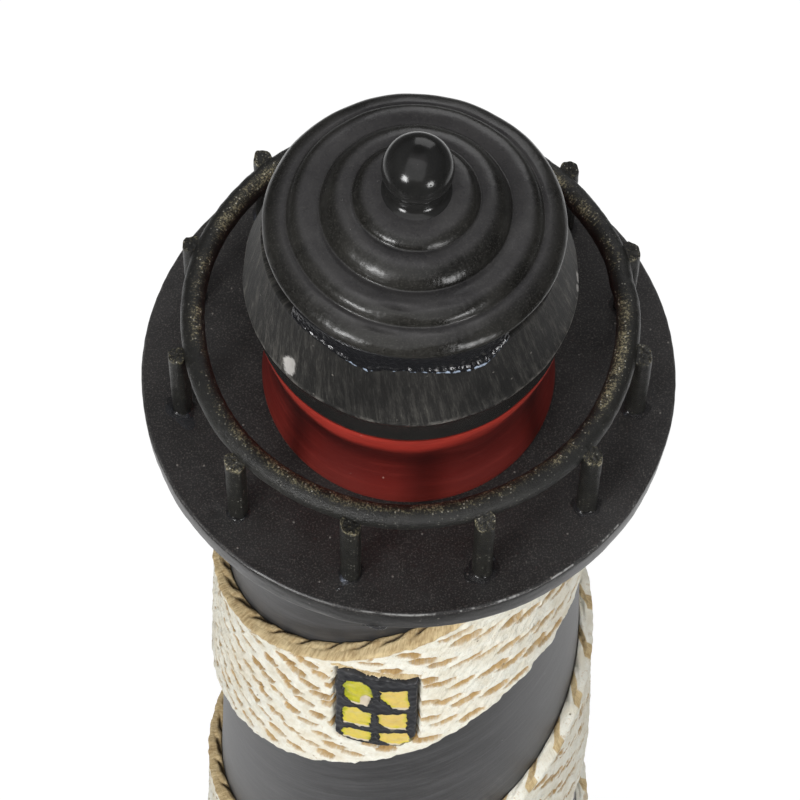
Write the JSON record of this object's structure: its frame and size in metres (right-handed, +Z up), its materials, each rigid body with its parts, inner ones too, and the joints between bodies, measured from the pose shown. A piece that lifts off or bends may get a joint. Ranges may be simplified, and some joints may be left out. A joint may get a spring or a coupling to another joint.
{
  "type": "lighted lighthouse figurine",
  "caption": "Battery-lit lighthouse figurine: tapered tower with a rising rope-pattern band, lit windows, railed gallery, red lantern drum and turned domed roof.",
  "frame": {"origin": "centre of the base in the plane that the rubber feet stand on", "axes": "+Z up along the tower, -Y towards the front with the door and the front window, +X to the viewer's right"},
  "size_m": [0.102, 0.102, 0.3647],
  "materials": {
    "black_resin": "satin painted resin",
    "charcoal_resin": "satin painted resin",
    "rope_resin": "matt painted resin with ochre wash",
    "amber_resin": "translucent glossy",
    "red_resin": "translucent glossy",
    "door_wood_paint": "matt painted resin",
    "brass_knob": "satin",
    "rail_wire": "black paint dry-brushed with bronze",
    "foot_rubber": "matt",
    "black_plastic": "moulded",
    "screw_steel": "zinc plated",
    "contact_steel": "nickel plated",
    "cell_skin": "plain sleeve",
    "lamp_lens": "clear moulded lens",
    "holder_plastic": "moulded",
    "board_green": "printed circuit board",
    "lead_red": "insulated lead",
    "lead_dark": "insulated lead"
  },
  "bodies": {
    "lighthouse": {"base_plinth": "black_resin", "rubber_feet": "foot_rubber", "base_cover": "black_plastic", "cover_screws": "screw_steel", "battery_tray": "black_plastic", "battery_cells": "cell_skin", "contact_springs": "contact_steel", "contact_plates": "contact_steel", "switch_body": "contact_steel", "switch_screws": "screw_steel", "tower_shell": "charcoal_resin", "rope_band": "rope_resin", "upper_window_frame": "charcoal_resin", "upper_window_panes": "amber_resin", "lower_window_frame": "charcoal_resin", "lower_window_panes": "amber_resin", "entry_surround": "charcoal_resin", "entry_door": "door_wood_paint", "entry_knob": "brass_knob", "gallery_deck": "black_resin", "rail_posts": "rail_wire", "rail_ring": "rail_wire", "lantern_drum": "red_resin", "lamp_holder": "holder_plastic", "lantern_lamp": "lamp_lens", "lantern_board": "board_green", "window_lamp": "lamp_lens", "window_board": "board_green", "switch_lead": "lead_red", "supply_lead": "lead_red", "return_lead": "lead_dark", "roof_skirt": "black_resin", "roof_dome": "black_resin", "roof_finial": "black_resin"},
    "battery_door": {"battery_door": "black_plastic"},
    "switch_knob": {"switch_knob": "black_plastic"}
  },
  "joints": [
    {"name": "battery_door_hinge", "type": "hinge", "parent": "lighthouse", "child": "battery_door", "pos_m": [-0.0237, 0, 0.0037], "axis": [0, 1, 0], "range_deg": [0, 95]},
    {"name": "switch_slide", "type": "slide", "parent": "lighthouse", "child": "switch_knob", "axis": [1, 0, 0], "range_m": [0, 0.003]}
  ]
}
